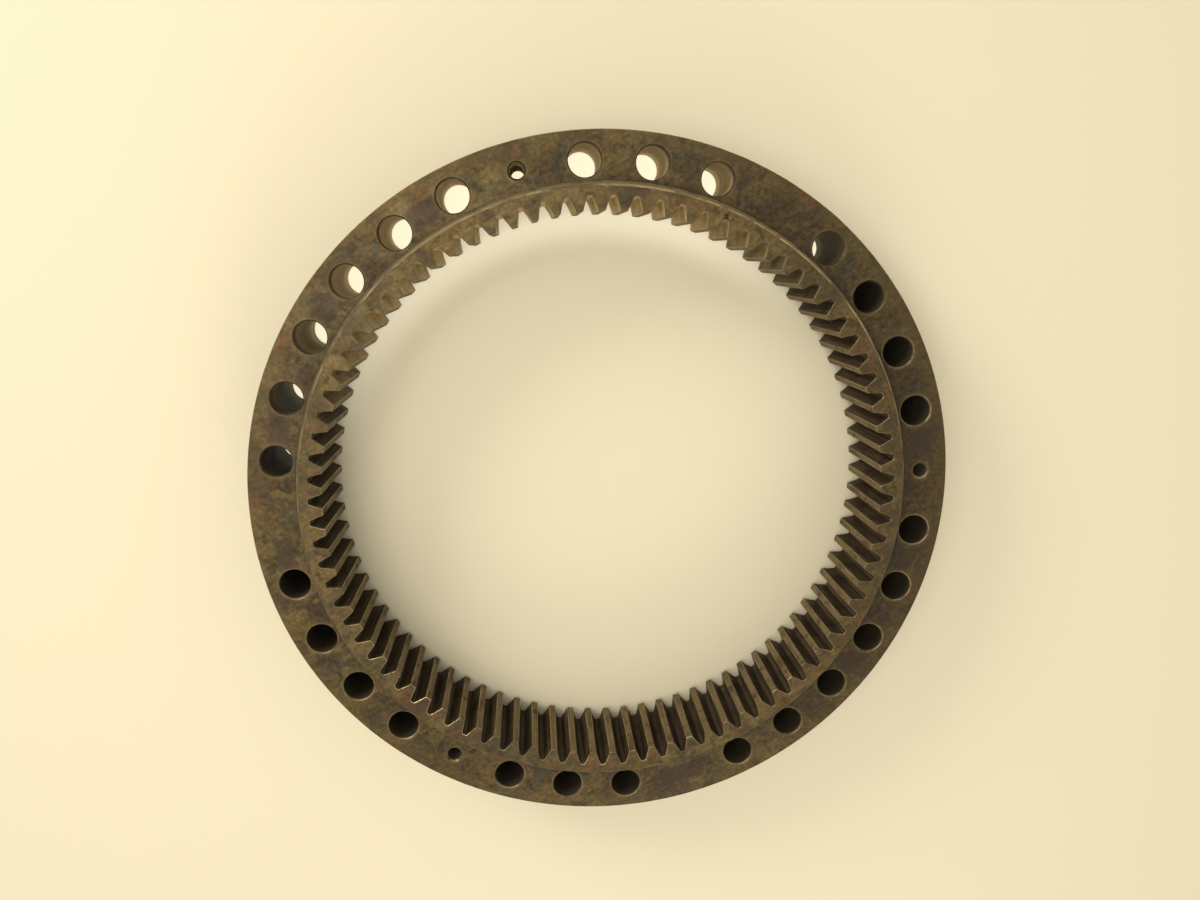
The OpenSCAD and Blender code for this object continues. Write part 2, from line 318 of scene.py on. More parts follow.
def stained_colour(n, base, red, darker_side=0.0):
    """Oiled, handled steel: broad soft patches, red-brown stains, smears and fine mottling.
    red is how strong the red-brown stains are, as a number or a socket. darker_side is how far
    the right side is shaded, duller and darker, from 0 to 1."""
    colour = base
    for shade, scale, low, soft, amount, distortion, detail in STAINS:
        if shade is RED_BROWN:
            amount = n.math("MULTIPLY", red, amount)
        colour = tint(n, colour, scale, low, soft, shade, amount, distortion, detail)
    x, y, _ = n.split()
    side = n.step(n.math("ADD", x, n.math("MULTIPLY", n.noise(12), 0.1)), 0.06, 0.32)
    side_colour = n.mix(n.step(n.noise(40, 4, 0.6), 0.40, 0.56), GREY_GREEN, DULL_BROWN)
    colour = n.mix(n.math("MULTIPLY", side, 0.65 * darker_side), colour, side_colour)
    colour = n.mix(1.0, colour, n.grey(n.spread(side, 0, 1, 1, 1 - 0.25 * darker_side)), "MULTIPLY")
    # smears, drawn out along one direction
    along = n.math("ADD", x, n.math("MULTIPLY", y, SMEAR_SLOPE))
    across = n.math("SUBTRACT", y, n.math("MULTIPLY", x, SMEAR_SLOPE))
    drawn = n.add("ShaderNodeCombineXYZ", {0: n.math("MULTIPLY", along, 45),
                                           1: n.math("MULTIPLY", across, 330)})
    smear = n.spread(n.noise(1.0, 4, 0.6, vector=drawn.outputs[0], distortion=0.5), 0.3, 0.7, 0.74, 1.26)
    mottle = n.spread(n.noise(300, 5, 0.7), 0.32, 0.68, 0.52, 1.48)
    return n.mix(1.0, colour, n.grey(n.math("MULTIPLY", smear, mottle)), "MULTIPLY")


def far_side(n, low, high):
    """0 on the ring's near side and 1 on its far side, changing between low and high. The
    materials are lighter or darker by it for the light that falls there, not for wear or dirt."""
    x, y, _ = n.split()
    place = n.math("SUBTRACT", y, n.math("MULTIPLY", x, 0.2))
    return n.step(n.math("ADD", place, n.math("MULTIPLY", n.noise(30), 0.05)), low, high)


def steel_surface(n, colour, low=0.36, high=0.62, metallic=0.5, marks=None, mark_depth=0.02 * MM,
                  specular=0.5):
    """Steel of this colour with fine pits. low and high are its least and greatest roughness."""
    rough = n.spread(n.noise(60, 6, 0.6), 0.3, 0.7, low, high)
    pits = n.bump(n.noise(700, 6, 0.75), 0.45, 0.10 * MM)
    normal = n.bump(marks, 0.5, mark_depth, pits) if marks else pits
    n.set(Base_Color=colour, Roughness=rough, Normal=normal)
    n.shader.inputs["Metallic"].default_value = metallic
    n.shader.inputs["Specular IOR Level"].default_value = specular
    return n.material


# Dark oblong marks between some holes: their places, in positions of the bolt circle from +X, and
# half their lengths
FASTENING_MARKS = [(10.5, 12 * MM), (12.5, 11 * MM), (14.5, 10 * MM), (-15.5, 13 * MM), (0.5, 9 * MM),
                   (-1.5, 8 * MM), (-3.5, 11 * MM), (-7, 16 * MM)]
MARK_HALF_WIDTH = 7 * MM


def fastening_mark(n, radius, angle, wobble):
    """1 in the dark oblong marks between some of the holes, and 0 outside them."""
    across = n.math("ABSOLUTE", n.math("SUBTRACT", n.math("ADD", radius, wobble), CIRCLE_R))
    found = None
    for position, half_length in FASTENING_MARKS:
        turn = n.math("SUBTRACT", angle, position * STEP)
        along = n.math("ABSOLUTE", n.math("MULTIPLY", turn, CIRCLE_R))
        far = n.math("MAXIMUM", n.math("DIVIDE", n.math("ADD", along, wobble), half_length),
                     n.math("DIVIDE", across, MARK_HALF_WIDTH))
        inside = n.math("SUBTRACT", 1.0, n.step(far, 0.85, 1.20))
        found = inside if found is None else n.math("MAXIMUM", found, inside)
    return found


def flange_material():
    """The outer ring's faces: turned steel, redder towards the outer edge. The right side is
    shaded, most of all beside the rim."""
    n = Nodes("flange_steel")
    radius, angle, _ = n.polar()
    wobble = n.math("MULTIPLY", n.math("SUBTRACT", n.noise(120, 5, 0.65), 0.5), 10 * MM)
    ragged = n.math("ADD", radius, wobble)
    outside = n.step(ragged, CIRCLE_R + 4 * MM, OUTER_R - 3 * MM)
    colour = stained_colour(n, OLIVE, n.spread(outside, 0, 1, 0.25, 1.0), 0.70)
    colour = n.mix(n.math("MULTIPLY", outside, 0.17), colour, TAN)
    colour = n.mix(n.math("MULTIPLY", fastening_mark(n, radius, angle, wobble), 0.70), colour, PURPLE)
    x, _, _ = n.split()
    beside_rim = n.math("SUBTRACT", 1.0, n.step(ragged, RIM_R, RIM_R + 9 * MM))
    beside_rim = n.math("MULTIPLY", beside_rim, n.spread(n.step(x, -0.10, 0.08), 0, 1, 0.0, 0.60))
    colour = n.mix(beside_rim, colour, DARK)
    colour = n.mix(n.math("MULTIPLY", n.worn(), 0.35), colour, TAN)
    turning = n.noise(1.0, 3, 0.6, vector=n.stretched(1500, 3, 1500))
    return steel_surface(n, colour, marks=turning)


def wall_material():
    """The turned walls, outside and between the rings."""
    n = Nodes("turned_wall_steel")
    turning = n.noise(1.0, 3, 0.6, vector=n.stretched(1500, 4, 1600))
    colour = n.mix(0.62, stained_colour(n, OLIVE, 0.35), (0.066, 0.047, 0.022))
    colour = n.mix(1.0, colour, n.grey(n.spread(turning, 0.3, 0.7, 0.80, 1.20)), "MULTIPLY")
    return steel_surface(n, colour, marks=turning, mark_depth=0.04 * MM)


def bore_material():
    """Drilled walls, with the rings that the drill leaves: shaded on the near side and lit on the
    far side, where the light fades towards the upper mouth."""
    n = Nodes("bore_steel")
    _, _, z = n.split()
    along = n.add("ShaderNodeCombineXYZ", {2: n.math("MULTIPLY", z, 330)})
    rings = n.noise(1.0, 4, 0.6, vector=along.outputs[0])
    ridge = n.step(rings, 0.42, 0.60)
    lit = n.mix(ridge, (0.430, 0.330, 0.165), (0.780, 0.630, 0.345))
    shaded = n.mix(ridge, (0.046, 0.038, 0.027), (0.060, 0.050, 0.036))
    fading = n.spread(n.step(z, RING_H - 9 * MM, RING_H - 4 * MM), 0, 1, 1, 0.15)
    colour = n.mix(n.math("MULTIPLY", far_side(n, 0.13, 0.25), fading), shaded, lit)
    colour = n.mix(n.math("MULTIPLY", n.worn(), 0.8), colour, TAN)
    return steel_surface(n, colour, low=0.55, high=0.75, metallic=0.0, marks=rings,
                         mark_depth=0.10 * MM, specular=0.12)


def rubbed_and_highlit_edge_material(name, dull, bright, near, far, left, right, patchy):
    """A corner rubbed bright, and painted brighter still as a highlight where light catches it, with
    dirt over parts of it. near, far, left and right are how bright it is painted on those sides,
    as painted light. patchy is how far the rubbing comes and goes round the ring."""
    n = Nodes(name)
    x, _, _ = n.split()
    rubbed = n.step(n.noise(60, 6, 0.65), 0.38, 0.56)
    patches = n.spread(n.step(n.noise(17, 3, 0.6), 0.40, 0.54), 0, 1, 1 - patchy, 1)
    lit = n.spread(far_side(n, 0.0, 0.14), 0, 1, near, far)
    # The rubbing is weighted by painted light: lighter on the sides that near, far, left and right say.
    rubbed = n.math("MULTIPLY", n.math("MULTIPLY", rubbed, patches), lit)
    rubbed = n.math("MULTIPLY", rubbed, n.spread(x, -0.15, 0.15, left, right))
    colour = n.mix(rubbed, dull, bright)
    colour = n.mix(n.math("MULTIPLY", n.step(n.noise(37, 5, 0.6), 0.52, 0.64), 0.6), colour, BROWN)
    return steel_surface(n, colour, low=0.30, high=0.50, metallic=0.4)


def mouth_material():
    """The bevels at the holes' mouths: lit on the near side, and shaded on the far side."""
    n = Nodes("hole_mouth_steel")
    lit = n.mix(n.step(n.noise(75, 6, 0.65), 0.38, 0.58), (0.085, 0.062, 0.032), (0.240, 0.190, 0.110))
    shaded = n.mix(n.step(n.noise(75, 6, 0.65), 0.42, 0.62), DARK, (0.060, 0.045, 0.024))
    colour = n.mix(far_side(n, 0.02, 0.16), lit, shaded)
    return steel_surface(n, colour, low=0.38, high=0.58, metallic=0.3)


def rim_material():
    """The inner ring's face: lighter than the flange, red-brown in places, with broken steel in
    its chips. Its right side is painted darker and duller, as shade."""
    n = Nodes("rim_steel")
    turning = n.noise(1.0, 3, 0.6, vector=n.stretched(1700, 3, 1700))
    colour = stained_colour(n, (0.118, 0.082, 0.033), 0.75, 0.30)
    colour = n.mix(0.15, colour, TAN)
    colour = n.mix(n.math("MULTIPLY", n.worn(), 0.35), colour, TAN)
    broken = n.mix(n.step(n.noise(520, 3, 0.6), 0.44, 0.56), DARK, (0.120, 0.078, 0.044))
    colour = n.mix(n.math("MULTIPLY", n.worn(-1), 0.90), colour, broken)
    return steel_surface(n, colour, marks=turning)


def flank_material():
    """Tooth flanks and roots: cut steel with streaks along the tooth and patches of grease.
    They are painted shaded on the near side, there lighter near the tips, and painted lit on the far side."""
    n = Nodes("flank_steel")
    radius, _, _ = n.polar()
    streaks = n.noise(1.0, 5, 0.65, vector=n.stretched(900, 380, 22))
    streak = n.step(streaks, 0.42, 0.62)
    shaded = n.mix(streak, (0.030, 0.021, 0.014), (0.085, 0.062, 0.040))
    lit = n.mix(streak, (0.440, 0.335, 0.165), (0.540, 0.415, 0.215))
    # Painted shade: on the near side the flanks are lighter near the tip and darker deeper down, towards the
    # root.
    tip = n.math("SUBTRACT", 1.0, n.step(radius, TIP_R + 0.3 * MM, TIP_R + 2.0 * MM))
    shaded = n.mix(n.math("MULTIPLY", tip, 0.45), shaded, OLIVE)
    far = far_side(n, 0.12, 0.22)
    colour = n.mix(far, shaded, lit)
    # Dark grease patches, weaker on the far side, where the flanks are painted lit.
    grease = n.math("MULTIPLY", n.step(n.noise(45, 6, 0.62), 0.48, 0.62), n.spread(far, 0, 1, 0.65, 0.35))
    colour = n.mix(grease, colour, (0.024, 0.017, 0.010))
    return steel_surface(n, colour, low=0.45, high=0.66, metallic=0.0, marks=streaks,
                         mark_depth=0.03 * MM, specular=0.12)


def land_material():
    """Tooth tips: lighter than the flanks, with streaks along the tooth."""
    n = Nodes("tooth_land_steel")
    streaks = n.noise(1.0, 4, 0.6, vector=n.stretched(900, 420, 30))
    colour = n.mix(n.step(streaks, 0.40, 0.64), (0.100, 0.075, 0.038), (0.200, 0.152, 0.078))
    colour = tint(n, colour, 48, 0.52, 0.12, BROWN, 0.7)
    colour = tint(n, colour, 90, 0.56, 0.08, DARK, 0.65)
    return steel_surface(n, colour, low=0.50, high=0.70, metallic=0.1, marks=streaks,
                         mark_depth=0.04 * MM, specular=0.12)


def rubber_material():
    """Black rubber, almost hidden by brown grime."""
    n = Nodes("seal_rubber")
    grime = n.step(n.noise(120, 6, 0.65), 0.28, 0.50)
    colour = n.mix(grime, (0.070, 0.054, 0.030), (0.200, 0.155, 0.082))
    n.set(Base_Color=colour, Roughness=n.spread(grime, 0, 1, 0.45, 0.80),
          Normal=n.bump(n.noise(1400, 3, 0.6), 0.3, 0.04 * MM))
    return n.material


def plug_material():
    """Turned steel with dark patches, for the plugs and the pin."""
    n = Nodes("plug_steel")
    colour = n.mix(n.step(n.noise(120, 6, 0.6), 0.42, 0.62), (0.26, 0.20, 0.125), (0.090, 0.066, 0.036))
    turning = n.noise(1.0, 3, 0.6, vector=n.stretched(2200, 600, 2200))
    return steel_surface(n, colour, low=0.30, high=0.50, metallic=0.7, marks=turning)


def brass_material():
    """Tarnished brass, for the cage."""
    n = Nodes("cage_brass")
    tarnish = n.step(n.noise(90, 6, 0.62), 0.44, 0.64)
    colour = n.mix(tarnish, (0.62, 0.43, 0.17), (0.30, 0.19, 0.075))
    turning = n.noise(1.0, 3, 0.6, vector=n.stretched(1800, 6, 1800))
    return steel_surface(n, colour, low=0.24, high=0.44, metallic=1.0, marks=turning)


def ball_material():
    """Polished steel under a thin film of grease."""
    n = Nodes("ball_steel")
    film = n.noise(260, 5, 0.6)
    n.set(Base_Color=n.mix(n.step(film, 0.5, 0.7), (0.62, 0.61, 0.59), (0.42, 0.38, 0.30)),
          Roughness=n.spread(film, 0.3, 0.7, 0.08, 0.22))
    n.shader.inputs["Metallic"].default_value = 1.0
    return n.material


flange_steel = flange_material()
wall_steel = wall_material()
bore_steel = bore_material()
# Painted highlight: the worn corners of the rings are brighter on the far and right sides, as light falls
# there.
worn_edge_and_highlight = rubbed_and_highlit_edge_material("worn_edge_steel", (0.120, 0.090, 0.046), (0.480, 0.390, 0.225),
                                 near=0.3, far=0.9, left=0.35, right=1.0, patchy=0.4)
mouth_steel = mouth_material()
rim_steel = rim_material()
# Painted highlight: the teeth's corners and front edges are brighter on the near and left sides, as light
# falls there.
tip_corner = rubbed_and_highlit_edge_material("tooth_corner_steel", (0.135, 0.100, 0.052), (0.520, 0.420, 0.240),
                                  near=0.9, far=0.5, left=1.0, right=0.4, patchy=0.7)
tooth_edge = rubbed_and_highlit_edge_material("tooth_edge_steel", (0.130, 0.096, 0.050), (0.740, 0.610, 0.370),
                                  near=1.0, far=0.1, left=1.0, right=0.3, patchy=0.6)
flank_steel = flank_material()
land_steel = land_material()
seal_rubber = rubber_material()
plug_steel = plug_material()
cage_brass = brass_material()
ball_steel = ball_material()


# ---------------------------------------------------------------- outer ring
def hole_radii():
    """Radius of the hole at each position of the bolt circle, from the record's mounts."""
    radii = {}
    for mount in mounts.values():
        dims, (x, y, _) = mount["dims"], mount["pos_m"]
        if mount["kind"] == "bolt_pattern":
            half_x = dims.get("spacing_x_mm", 0) * MM / 2
            half_y = dims.get("spacing_y_mm", 0) * MM / 2
            places = [(sx * half_x, sy * half_y) for sx in (-1, 1) for sy in (-1, 1)]
            radius = dims["hole_r_mm"] * MM
        elif mount["kind"] in ("bore", "threaded_hole"):
            places, radius = [(x, y)], dims["r_mm"] * MM
        else:
            continue
        for px, py in places:
            radii[round(math.atan2(py, px) / STEP) % POSITIONS] = radius
    return radii


def sector_outline(position, inner, outer, z):
    """The outline of one position's share of a face: its outer arc, a side, its inner arc and the
    other side."""
    middle = position * STEP
    across = [middle - STEP / 2 + STEP * i / ARC_STEPS for i in range(ARC_STEPS + 1)]
    down = [outer + (inner - outer) * i / SIDE_STEPS for i in range(SIDE_STEPS + 1)]
    return ([polar(outer, a, z) for a in across[:-1]] + [polar(r, across[-1], z) for r in down[:-1]]
            + [polar(inner, a, z) for a in across[:0:-1]] + [polar(r, across[0], z) for r in down[:0:-1]])


def blend_loops(outline, loop, shares):
    """Loops between an outline and a loop of as many points, one for each share of the way."""
    return [[a.lerp(b, share) for a, b in zip(outline, loop)] for share in shares]


def worn(point, amount=0.12 * MM, scale=160):
    """A small push that makes a corner look knocked about."""
    return amount * noise.noise(point * scale)


def face_with_hole(shell, position, z, radius, bevel):
    """One position's flat face with a bevelled hole's mouth. Returns the directions round the
    hole, and the points where the bevel meets the face."""
    outline = sector_outline(position, SEAT_R + EDGE_WEAR, OUTER_R - CORNER_BEVEL, z)
    centre = polar(CIRCLE_R, position * STEP, z)
    ways = [(p - centre).normalized() for p in outline]
    mouth = [centre + way * (radius + bevel + worn(centre + way * radius)) for way in ways]
    shell.grid(blend_loops(outline, mouth, (0, 0.3, 0.6, 0.85, 1)), flange_steel, closed=True,
               wear=(0, 0, 0, 0.15, 1))
    return ways, mouth


def blank_face(shell, position, z):
    """One position's flat face without a hole."""
    middle, inner, outer = position * STEP, SEAT_R + EDGE_WEAR, OUTER_R - CORNER_BEVEL
    rows = [[polar(outer + (inner - outer) * i / SIDE_STEPS, middle - STEP / 2 + STEP * j / ARC_STEPS, z)
             for j in range(ARC_STEPS + 1)] for i in range(SIDE_STEPS + 1)]
    shell.grid(rows, flange_steel)


def thread_depth(along, angle, pitch, depth):
    """How deep a thread is cut at this point of a hole's wall."""
    turn = (along / pitch - angle / TAU) % 1
    return depth * max(0.0, 1 - abs(2 * turn - 1) * THREAD_FLANKS)


def drilled_wall(shell, position, ways, top, bottom, radius, bevel, tapped):
    """The wall of a through hole between its two mouths, with a helical thread if it is tapped."""
    axis = polar(CIRCLE_R, position * STEP)
    high, low = RING_H - bevel, bevel
    count = round((high - low) / THREAD_PITCH * ROWS_PER_TURN) if tapped else DRILL_RINGS
    rows = [top]
    for i in range(count + 1):
        z = high + (low - high) * i / count
        row = []
        drill_mark = random.uniform(-0.05, 0.08) * MM if 0 < i < count else 0.0
        for way in ways:
            depth = drill_mark
            if tapped:
                depth = thread_depth(z, math.atan2(way.y, way.x), THREAD_PITCH, THREAD_DEPTH)
            row.append(axis + way * (radius + depth) + Vector((0, 0, z)))
        rows.append(row)
    rows.append(bottom)
    shell.grid(rows[:2], mouth_steel, closed=True, wear=(1, 0.5))
    shell.grid(rows[1:-1], bore_steel, closed=True, wear=[0.5] + [0] * (count - 1) + [0.5])
    shell.grid(rows[-2:], mouth_steel, closed=True, wear=(0.5, 1))


def outside_wall(shell, position, port_r):
    """One position's share of the outside wall, with a radial port where port_r isn't 0."""
    middle = position * STEP
    high, low = RING_H - CORNER_BEVEL, CORNER_BEVEL
    angles = [middle - STEP / 2 + STEP * i / ARC_STEPS for i in range(ARC_STEPS + 1)]
    heights = [high + (low - high) * i / SIDE_STEPS for i in range(SIDE_STEPS + 1)]
    edge = [[polar(OUTER_R - CORNER_WEAR + worn(polar(OUTER_R, a, z), CORNER_WEAR), a, z) for a in angles]
            for z in (high, low)]
    for row, face_z in zip(edge, (RING_H, 0.0)):
        shell.grid([row, [polar(OUTER_R - CORNER_BEVEL, a, face_z) for a in angles]], worn_edge_and_highlight)
    if port_r:
        wall_with_port(shell, position, edge, angles, heights, port_r)
    else:
        middle_rows = [[polar(OUTER_R, a, z) for a in angles] for z in heights[1:-1]]
        shell.grid([edge[0], *middle_rows, edge[1]], wall_steel)


def wall_with_port(shell, position, edge, angles, heights, port_r):
    """The outside wall round a radial port, and the port's own wall and end."""
    middle = position * STEP
    down = [polar(OUTER_R, angles[-1], z) for z in heights[1:-1]]
    up = [polar(OUTER_R, angles[0], z) for z in heights[-2:0:-1]]
    outline = edge[0] + down + edge[1][::-1] + up
    out, side = polar(1, middle), polar(1, middle + math.pi / 2)
    flat = [Vector((p.dot(side), p.z - PORT_Z)).normalized() for p in outline]

    def on_wall(s, z):
        return out * math.sqrt(OUTER_R ** 2 - s ** 2) + side * s + Vector((0, 0, z))

    loops = [outline]
    for share in (0.3, 0.6, 0.85, 1):
        loop = []
        for p, way in zip(outline, flat):
            s = p.dot(side) * (1 - share) + way.x * port_r * share
            z = p.z * (1 - share) + (PORT_Z + way.y * port_r) * share
            loop.append(on_wall(s, z))
        loops.append(loop)
    shell.grid(loops, wall_steel, closed=True)
    depth = GREASE_DEPTH if position in GREASE_POSITIONS else OUTER_R - SEAT_R - FILLER_HOLE_STOP
    bore = [[out * (OUTER_R - depth * share) + side * way.x * port_r
             + Vector((0, 0, PORT_Z + way.y * port_r)) for way in flat] for share in (0.02, 0.5, 1)]
    shell.grid([loops[-1], *bore], bore_steel, closed=True)
    shell.cap(bore[-1], bore_steel)


def groove_arc(side):
    """The race's section from top to bottom, on the outer (side 1) or inner (side -1) ring."""
    half = math.acos((LAND_GAP / 2) / GROOVE_R)
    return [(RACE_R + side * GROOVE_R * math.cos(a), PORT_Z + GROOVE_R * math.sin(a))
            for a in (half - 2 * half * i / GROOVE_STEPS for i in range(GROOVE_STEPS + 1))]


def make_outer_ring():
    shell = Shell("outer_ring_fine", [flange_steel, wall_steel, bore_steel, worn_edge_and_highlight, mouth_steel])
    radii = hole_radii()
    for position in range(POSITIONS):
        radius = radii.get(position, 0)
        if radius:
            bevel = TAPPED_BEVEL if radius == TAPPED_R else BOLT_BEVEL
            ways, top = face_with_hole(shell, position, RING_H, radius, bevel)
            _, bottom = face_with_hole(shell, position, 0.0, radius, bevel)
            drilled_wall(shell, position, ways, top, bottom, radius, bevel, radius == TAPPED_R)
        else:
            blank_face(shell, position, RING_H)
            if position == FILLER_POSITION:
                ways, mouth = face_with_hole(shell, position, 0.0, PIN_R, 0.0)
                end = [polar(CIRCLE_R, position * STEP, PIN_TOP) + way * PIN_R for way in ways]
                shell.grid([mouth, end], bore_steel, closed=True)
                shell.cap(end, bore_steel)
            else:
                blank_face(shell, position, 0.0)
        outside_wall(shell, position, PORT_RADII.get(position, 0))
    angles = [(i - ARC_STEPS / 2) * STEP / ARC_STEPS for i in range(POSITIONS * ARC_STEPS)]

    def turned(profile, material):
        shell.grid([[polar(r, a, z) for a in angles] for r, z in profile], material, closed=True)

    turned([(SEAT_R + EDGE_WEAR, RING_H), (SEAT_R, RING_H - EDGE_WEAR)], worn_edge_and_highlight)
    turned([(SEAT_R, RING_H - EDGE_WEAR), (SEAT_R, UPPER_SEAL_LOW), (OUTER_LAND_R, UPPER_SEAL_LOW),
            *groove_arc(1), (OUTER_LAND_R, LOWER_SEAL_TOP), (SEAT_R, LOWER_SEAL_TOP),
            (SEAT_R, EDGE_WEAR)], wall_steel)
    turned([(SEAT_R, EDGE_WEAR), (SEAT_R + EDGE_WEAR, 0.0)], worn_edge_and_highlight)
    return shell.build()


# ---------------------------------------------------------------- toothed inner ring
def involute(angle):
    """The polar angle of an involute where the pressure angle is this."""
    return math.tan(angle) - angle


def space_half_angle(r):
    """Half the angle that a tooth space spans at this radius."""
    base = PITCH_R * math.cos(PRESSURE_ANGLE)
    return math.pi / 2 / TEETH + involute(PRESSURE_ANGLE) - involute(math.acos(base / r))


def half_space_outline():
    """Half a tooth space from the middle of a tip land to the root, as (radius, angle from the
    space's middle, kind). The kind is that of the stretch towards the space's middle."""
    tip_angle = space_half_angle(TIP_R)
    foot = ROOT_R - ROOT_ROUND
    points = [(TIP_R, TAU / TEETH / 2, "land"), (TIP_R, (TAU / TEETH / 2 + tip_angle) / 2, "land"),
              (TIP_R, tip_angle + TIP_CORNER / TIP_R, "corner")]
    for i in range(FLANK_STEPS + 1):
        r = TIP_R + TIP_CORNER + (foot - TIP_R - TIP_CORNER) * i / FLANK_STEPS
        points.append((r, space_half_angle(r), "flank"))
    wide, narrow = space_half_angle(foot), ROOT_FLAT / 2 / ROOT_R
    for i in range(1, ROOT_STEPS + 1):
        turn = math.pi / 2 * i / ROOT_STEPS
        angle = narrow + (wide - narrow) * math.cos(turn)
        points.append((foot + ROOT_ROUND * math.sin(turn), angle, "flank"))
    return points


def gear_outline():
    """All the spaces as (radius, angle, kind of the stretch that follows), clockwise."""
    half = half_space_outline()
    outline = []
    for tooth in range(TEETH):
        middle = GEAR_TURN - tooth * TAU / TEETH
        outline += [(r, middle + a, kind) for r, a, kind in half]
        outline.append((ROOT_R, middle, "flank"))
        outline += [(r, middle - a, half[i - 1][2]) for i, (r, a, _) in reversed(list(enumerate(half))) if i]
    return outline


def into_metal(flat):
    """Unit directions from the gear outline into the metal, one for each point."""
    count = len(flat)
    ways = []
    for i in range(count):
        along = flat[(i + 1) % count] - flat[i - 1]
        ways.append(Vector((-along.y, along.x, 0)).normalized())
    return ways


# Chips in the front face: angle, radius, reach and depth
CHIPS = [(math.radians(66.2), 218.4 * MM, 2.6 * MM, 1.1 * MM),
         (math.radians(63.8), 217.4 * MM, 3.0 * MM, 1.2 * MM)]


def dents():
    """Knocks on the tooth tips as (centre, reach, depth), most of them near the front."""
    made = []
    for _ in range(KNOCKS):
        angle = GEAR_TURN + (random.randrange(TEETH) + 0.5 + random.uniform(-0.18, 0.18)) * TAU / TEETH
        drop = random.uniform(0, 2.5) if random.random() < 0.7 else random.uniform(4, 60)
        made.append((polar(TIP_R, angle, INNER_TOP - drop * MM),
                     random.uniform(1.2, 3.0) * MM, random.uniform(0.25, 0.8) * MM))
    return made


def make_inner_ring():
    shell = Shell("inner_ring_fine", [rim_steel, flank_steel, land_steel, tip_corner, tooth_edge, worn_edge_and_highlight,
                                      wall_steel])
    outline = gear_outline()
    angles = [a for _, a, _ in outline]
    flat = [polar(r, a) for r, a, _ in outline]
    ways = into_metal(flat)
    last_row = INNER_TOP - INNER_LOW - LAST_ROW_GAP
    knocks = dents()

    def wear(i, z):
        """How wide the worn bevel is at this point of the outline."""
        spot = flat[i] + Vector((0, 0, z))
        return EDGE_WEAR * (1.0 + 1.1 * max(0.0, noise.noise(spot * 210)))

    def knocked(point):
        """Pushes a point near a knock out into the metal."""
        for centre, reach, depth in knocks:
            gap = (point - centre).length
            if gap < reach:
                point = point + Vector((point.x, point.y, 0)).normalized() * depth * (1 - (gap / reach) ** 2)
        return point

    def column_row(z):
        return [knocked(p + Vector((0, 0, z))) for p in flat]

    def face_row(z):
        return [p + way * wear(i, z) + Vector((0, 0, z)) for i, (p, way) in enumerate(zip(flat, ways))]

    def edge_row(z, inward):
        return [knocked(p + Vector((0, 0, z + inward * wear(i, z)))) for i, p in enumerate(flat)]

    def chipped(point):
        """Pushes a point of the front face down into the chips broken out beside two tooth spaces."""
        for turn, r, reach, depth in CHIPS:
            gap = (point - polar(r, turn, INNER_TOP)).length / reach
            if gap < 1:
                rough = 0.7 + 0.6 * noise.noise(point * 900)
                point = point - Vector((0, 0, depth * (1 - gap ** 2) * rough))
        return point

    top, bottom = [chipped(p) for p in face_row(INNER_TOP)], face_row(INNER_LOW)
    columns = [column_row(INNER_TOP - d * MM) for d in TOOTH_ROWS if d * MM < last_row]
    rows = [edge_row(INNER_TOP, -1), *columns, edge_row(INNER_LOW, 1)]
    shell.grid([top, rows[0]], tooth_edge, closed=True)
    shell.grid([rows[-1], bottom], tooth_edge, closed=True)
    finishes = {"land": land_steel, "corner": tip_corner, "flank": flank_steel}
    stretch = []
    for i, (_, _, kind) in enumerate(outline):
        stretch.append(i)
        following = (i + 1) % len(outline)
        if following == 0 or outline[following][2] != kind:
            shell.grid([[row[j] for j in (*stretch, following)] for row in rows], finishes[kind])
            stretch = []

    def turned(profile, material):
        shell.grid([[polar(r, a, z) for a in angles] for r, z in profile], material, closed=True)

    bevel_top = [polar(RIM_R - RIM_BEVEL + worn(p, BEVEL_WEAR, 120), a, INNER_TOP)
                 for p, a in zip(flat, angles)]
    bevel_side = [polar(RIM_R, a, INNER_TOP - RIM_BEVEL + worn(p, BEVEL_WEAR, 140))
                  for p, a in zip(flat, angles)]
    face = blend_loops(top, bevel_top, (0, 0.12, 0.3, 0.55, 0.8, 1))
    shell.grid([[chipped(p) for p in loop] for loop in face], rim_steel, closed=True,
               wear=(1, 0.1, 0, 0, 0, 0))
    shell.broken(CHIPS, INNER_TOP)
    shell.grid([bevel_top, bevel_side], worn_edge_and_highlight, closed=True)
    shell.grid([bevel_side, [polar(RIM_R, a, RING_H) for a in angles]], rim_steel, closed=True)
    low_corner = INNER_LAND_R - INNER_CORNER
    turned([(RIM_R, RING_H), (TRACK_R, RING_H), (TRACK_R, TRACK_Z), (INNER_LAND_R, TRACK_Z),
            *groove_arc(-1), (INNER_LAND_R, INNER_LOW + INNER_CORNER), (low_corner, INNER_LOW)], wall_steel)
    foot = [polar(low_corner, a, INNER_LOW) for a in angles]
    shell.grid(blend_loops(bottom, foot, (0, 0.5, 1)), rim_steel, closed=True)
    return shell.build()


# ---------------------------------------------------------------- seals, plugs and balls
def turned_piece(name, profile, material):
    """A closed section, as (radius, height), turned round the axis."""
    shell = Shell(name, [material])
    angles = [TAU * j / TURN_STEPS for j in range(TURN_STEPS)]
    shell.grid([[polar(r, a, z) for a in angles] for r, z in profile + profile[:1]], material, closed=True)
    return shell.build()


def make_upper_seal():
    lip = TRACK_R + LIP_GAP
    low, top = UPPER_SEAL_LOW, UPPER_SEAL_TOP
    return turned_piece("upper_seal_fine", [
        (SEAT_R, low), (SEAT_R, top), (SEAT_R - GROOVE_TOP, top),
        (SEAT_R - GROOVE_FOOT, top - SEAL_GROOVE), (lip + LIP_FOOT, top - SEAL_GROOVE),
        (lip + LIP_CREST, top), (lip, top - LIP_CORNER), (lip, top - LIP_BAND),
        (lip + LIP_RELIEF, low + UPPER_SEAL_FOOT), (lip + LIP_RELIEF, low)], seal_rubber)


